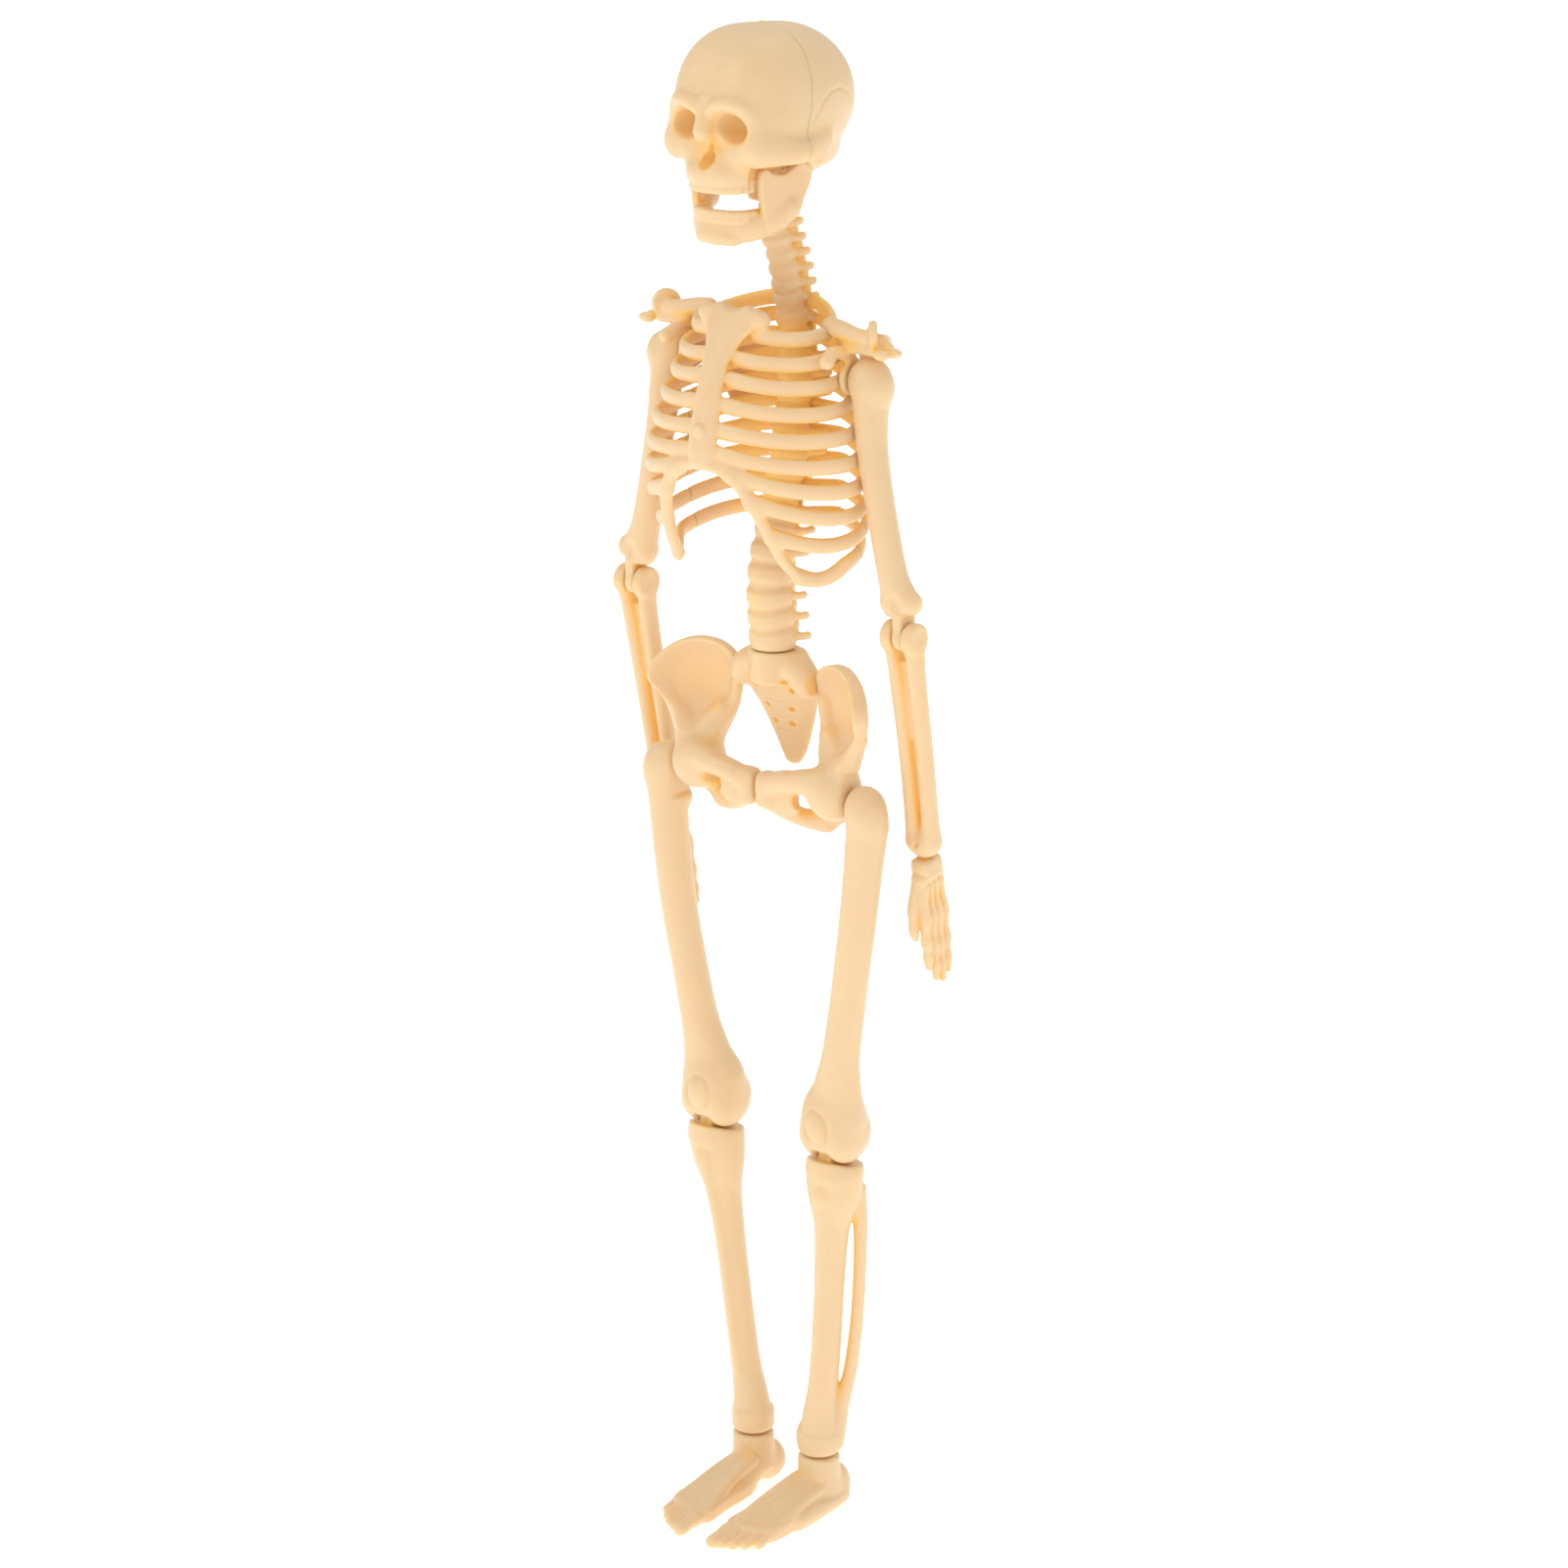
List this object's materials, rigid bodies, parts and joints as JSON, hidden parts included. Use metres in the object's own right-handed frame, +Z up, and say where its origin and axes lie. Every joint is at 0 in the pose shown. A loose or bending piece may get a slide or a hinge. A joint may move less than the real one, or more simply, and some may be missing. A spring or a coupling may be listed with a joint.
{
  "type": "human skeleton model",
  "caption": "Small standing model of a human skeleton in moulded plastic, with a turning head, a hinged jaw and arms and legs that swing and bend at their joints.",
  "frame": {"origin": "on the ground under the middle of the skeleton's box", "axes": "+Z up, the skeleton faces -Y, +X towards its own left side"},
  "size_m": [0.0598, 0.0348, 0.24],
  "materials": {
    "bone": "soft gloss cream moulded plastic",
    "pin": "soft gloss cream moulded plastic"
  },
  "bodies": {
    "pelvis": {"sacrum": "bone", "waist_pin": "pin", "hip_bone_left": "bone", "hip_bone_right": "bone", "hip_pin_left": "pin", "hip_pin_right": "pin"},
    "torso": {"spine": "bone", "neck_pin": "pin", "rib_cage_front": "bone", "rib_cage_back": "bone", "breastbone_peg": "pin", "scapula_left": "bone", "scapula_right": "bone", "shoulder_pin_left": "pin", "shoulder_pin_right": "pin"},
    "head": {"skull_front": "bone", "skull_back": "bone", "jaw_pins": "pin"},
    "jaw": {"jaw": "bone"},
    "upper_arm_left": {"humerus_left": "bone"},
    "forearm_left": {"forearm_left": "bone", "elbow_pin_left": "pin"},
    "hand_left": {"hand_left": "bone"},
    "thigh_left": {"femur_left": "bone", "knee_pin_left": "pin"},
    "shin_left": {"shin_left": "bone", "ankle_pin_left": "pin"},
    "foot_left": {"foot_left": "bone"},
    "upper_arm_right": {"humerus_right": "bone"},
    "forearm_right": {"forearm_right": "bone", "elbow_pin_right": "pin"},
    "hand_right": {"hand_right": "bone"},
    "thigh_right": {"femur_right": "bone", "knee_pin_right": "pin"},
    "shin_right": {"shin_right": "bone", "ankle_pin_right": "pin"},
    "foot_right": {"foot_right": "bone"}
  },
  "joints": [
    {"name": "waist_turn", "type": "hinge", "parent": "pelvis", "child": "torso", "pos_m": [0, 0.0025, 0.1439], "axis": [0, 0, 1], "range_deg": [-30, 30]},
    {"name": "neck_turn", "type": "hinge", "parent": "torso", "child": "head", "pos_m": [0, 0.0028, 0.2133], "axis": [0, 0, 1], "range_deg": [-60, 60]},
    {"name": "jaw_hinge", "type": "hinge", "parent": "head", "child": "jaw", "pos_m": [0, 0.0002, 0.2207], "axis": [1, 0, 0], "range_deg": [-12, 12]},
    {"name": "shoulder_swing_left", "type": "hinge", "parent": "torso", "child": "upper_arm_left", "pos_m": [0.0194, 0.0022, 0.1884], "axis": [-1, 0, 0], "range_deg": [-35, 100]},
    {"name": "elbow_bend_left", "type": "hinge", "parent": "upper_arm_left", "child": "forearm_left", "pos_m": [0.0269, 0.001, 0.1505], "axis": [-1, 0, 0], "range_deg": [0, 100]},
    {"name": "wrist_turn_left", "type": "hinge", "parent": "forearm_left", "child": "hand_left", "pos_m": [0.0262, 0.0074, 0.1145], "axis": [0, -0.175, 0.9846], "range_deg": [-90, 90]},
    {"name": "hip_swing_left", "type": "hinge", "parent": "pelvis", "child": "thigh_left", "pos_m": [0.0194, 0.0006, 0.1225], "axis": [-1, 0, 0], "range_deg": [-20, 90]},
    {"name": "knee_bend_left", "type": "hinge", "parent": "thigh_left", "child": "shin_left", "pos_m": [0.0124, 0.0022, 0.0675], "axis": [1, 0, 0], "range_deg": [0, 95]},
    {"name": "ankle_turn_left", "type": "hinge", "parent": "shin_left", "child": "foot_left", "pos_m": [0.007, 0.0046, 0.0097], "axis": [0, 0, 1], "range_deg": [-4, 25]},
    {"name": "shoulder_swing_right", "type": "hinge", "parent": "torso", "child": "upper_arm_right", "pos_m": [-0.0194, 0.0022, 0.1884], "axis": [-1, 0, 0], "range_deg": [-35, 100]},
    {"name": "elbow_bend_right", "type": "hinge", "parent": "upper_arm_right", "child": "forearm_right", "pos_m": [-0.0269, 0.001, 0.1505], "axis": [-1, 0, 0], "range_deg": [0, 100]},
    {"name": "wrist_turn_right", "type": "hinge", "parent": "forearm_right", "child": "hand_right", "pos_m": [-0.0262, 0.0074, 0.1145], "axis": [0, -0.175, 0.9846], "range_deg": [-90, 90]},
    {"name": "hip_swing_right", "type": "hinge", "parent": "pelvis", "child": "thigh_right", "pos_m": [-0.0194, 0.0006, 0.1225], "axis": [-1, 0, 0], "range_deg": [-20, 90]},
    {"name": "knee_bend_right", "type": "hinge", "parent": "thigh_right", "child": "shin_right", "pos_m": [-0.0124, 0.0022, 0.0675], "axis": [1, 0, 0], "range_deg": [0, 95]},
    {"name": "ankle_turn_right", "type": "hinge", "parent": "shin_right", "child": "foot_right", "pos_m": [-0.007, 0.0046, 0.0097], "axis": [0, 0, 1], "range_deg": [-25, 4]}
  ]
}
